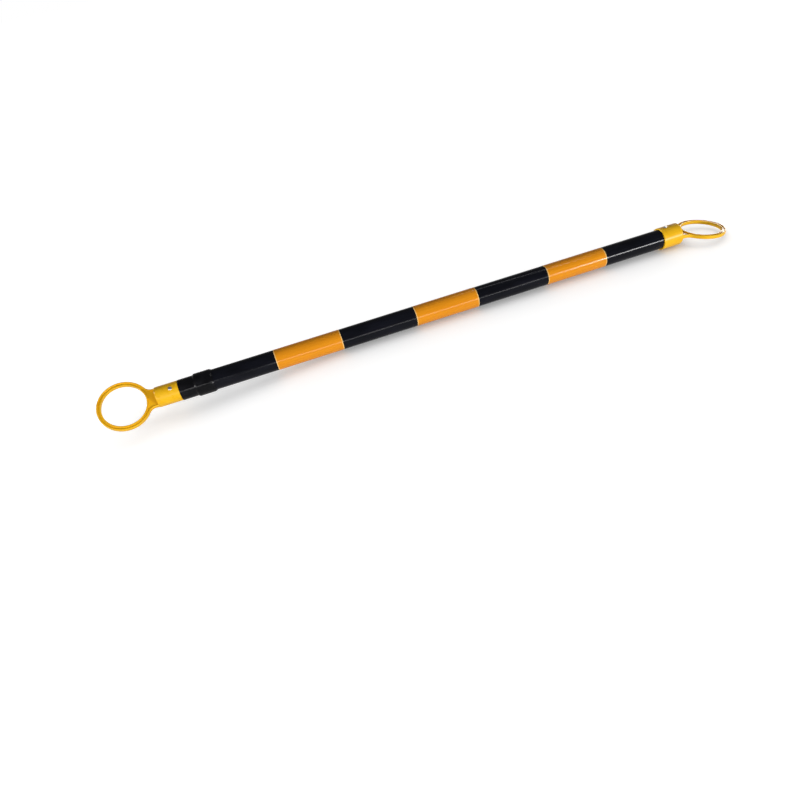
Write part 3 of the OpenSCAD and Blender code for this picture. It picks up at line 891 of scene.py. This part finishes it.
add_node(tree, "ShaderNodeOutputWorld", links={"Surface": sky.outputs["Background"]})
print("The room gives a light of", WORLD_LIGHT)

# %% [markdown]
# ## Soft studio light
# A round bar shows a light as one long line, so each panel is placed by the line that it gives. One
# huge panel would be simpler, but its line would be as broad as the bar. In front, a panel on the right
# gives the strong line on that end, a strip beside it the fine line along the middle, and a small spot
# and a left panel the lines near the mouth. A fill lights the left ring from the side, and a low lamp far
# left gives the glint on the bush. A tube overhead draws a thin line on top, and two fills light the
# back. Strength is given as the brightness of a panel's face, which is its power over pi times its area.

# %% Lamps
AIM = Vector((0, 0, 0.02))


def panel(name, centre, width, height, brightness):
    lamp = bpy.data.lights.new(name, "AREA")
    lamp.shape, lamp.size, lamp.size_y = "RECTANGLE", width, height
    lamp.energy = math.pi * width * height * brightness
    made = bpy.data.objects.new(name, lamp)
    made.location = centre
    made.rotation_euler = (AIM - Vector(centre)).to_track_quat("-Z", "Y").to_euler()
    made.visible_camera = False
    bpy.context.scene.collection.objects.link(made)
    print(name, "gives", round(lamp.energy, 1), "W")


panel("front_right_panel", (2.84, -4.0, 0.26), 0.82, 0.46, 106.0)
panel("front_strip", (1.05, -4.0, 0.14), 2.7, 0.24, 25.0)
panel("front_spot", (-0.3, -4.0, 0.4), 0.2, 0.4, 24.0)
panel("front_left_panel", (-1.27, -4.0, 0.95), 0.6, 0.4, 30.0)
panel("left_fill", (-1.7, -1.7, 1.2), 0.9, 0.6, 11.5)
panel("left_glint", (-4.74, -1.0, 0.2), 0.7, 0.36, 46.0)
panel("ceiling_tube", (1.2, 0.45, 2.5), 1.8, 0.04, 22.0)
panel("back_left_fill", (-4.5, 3.1, 0.4), 2.6, 0.7, 32.0)
panel("back_right_fill", (4.4, 3.0, 0.8), 2.0, 1.4, 14.0)

# %% [markdown]
# ## Camera
# The camera stands a little left of the bar's middle and looks down on it. It could be aimed by a
# constraint, but here its place, turns and lens are set, as they were fitted to the edges of the bar
# and its bands. It is rolled, because the bar slopes in the picture while it lies level here.

# %% Camera
CAMERA_AT = (-0.2880, -1.0473, 0.6269)
HEADING, LOOK_DOWN, ROLL = math.radians(-10.249), math.radians(36.196), math.radians(-12.38)
SENSOR_MM, LENS_MM = 36.0, 29.25

view_camera = bpy.data.cameras.new("camera")
view_camera.sensor_width, view_camera.lens = SENSOR_MM, LENS_MM
camera = bpy.data.objects.new("camera", view_camera)
camera.matrix_world = (Matrix.Translation(CAMERA_AT) @ Matrix.Rotation(HEADING, 4, "Z")
                       @ Matrix.Rotation(math.pi / 2 - LOOK_DOWN, 4, "X") @ Matrix.Rotation(ROLL, 4, "Z"))
bpy.context.scene.collection.objects.link(camera)
bpy.context.scene.camera = camera
bpy.context.scene.view_settings.view_transform = "Standard"
print("The camera is", round((camera.location - bar_start).length, 2), "m from the bar's left mouth")
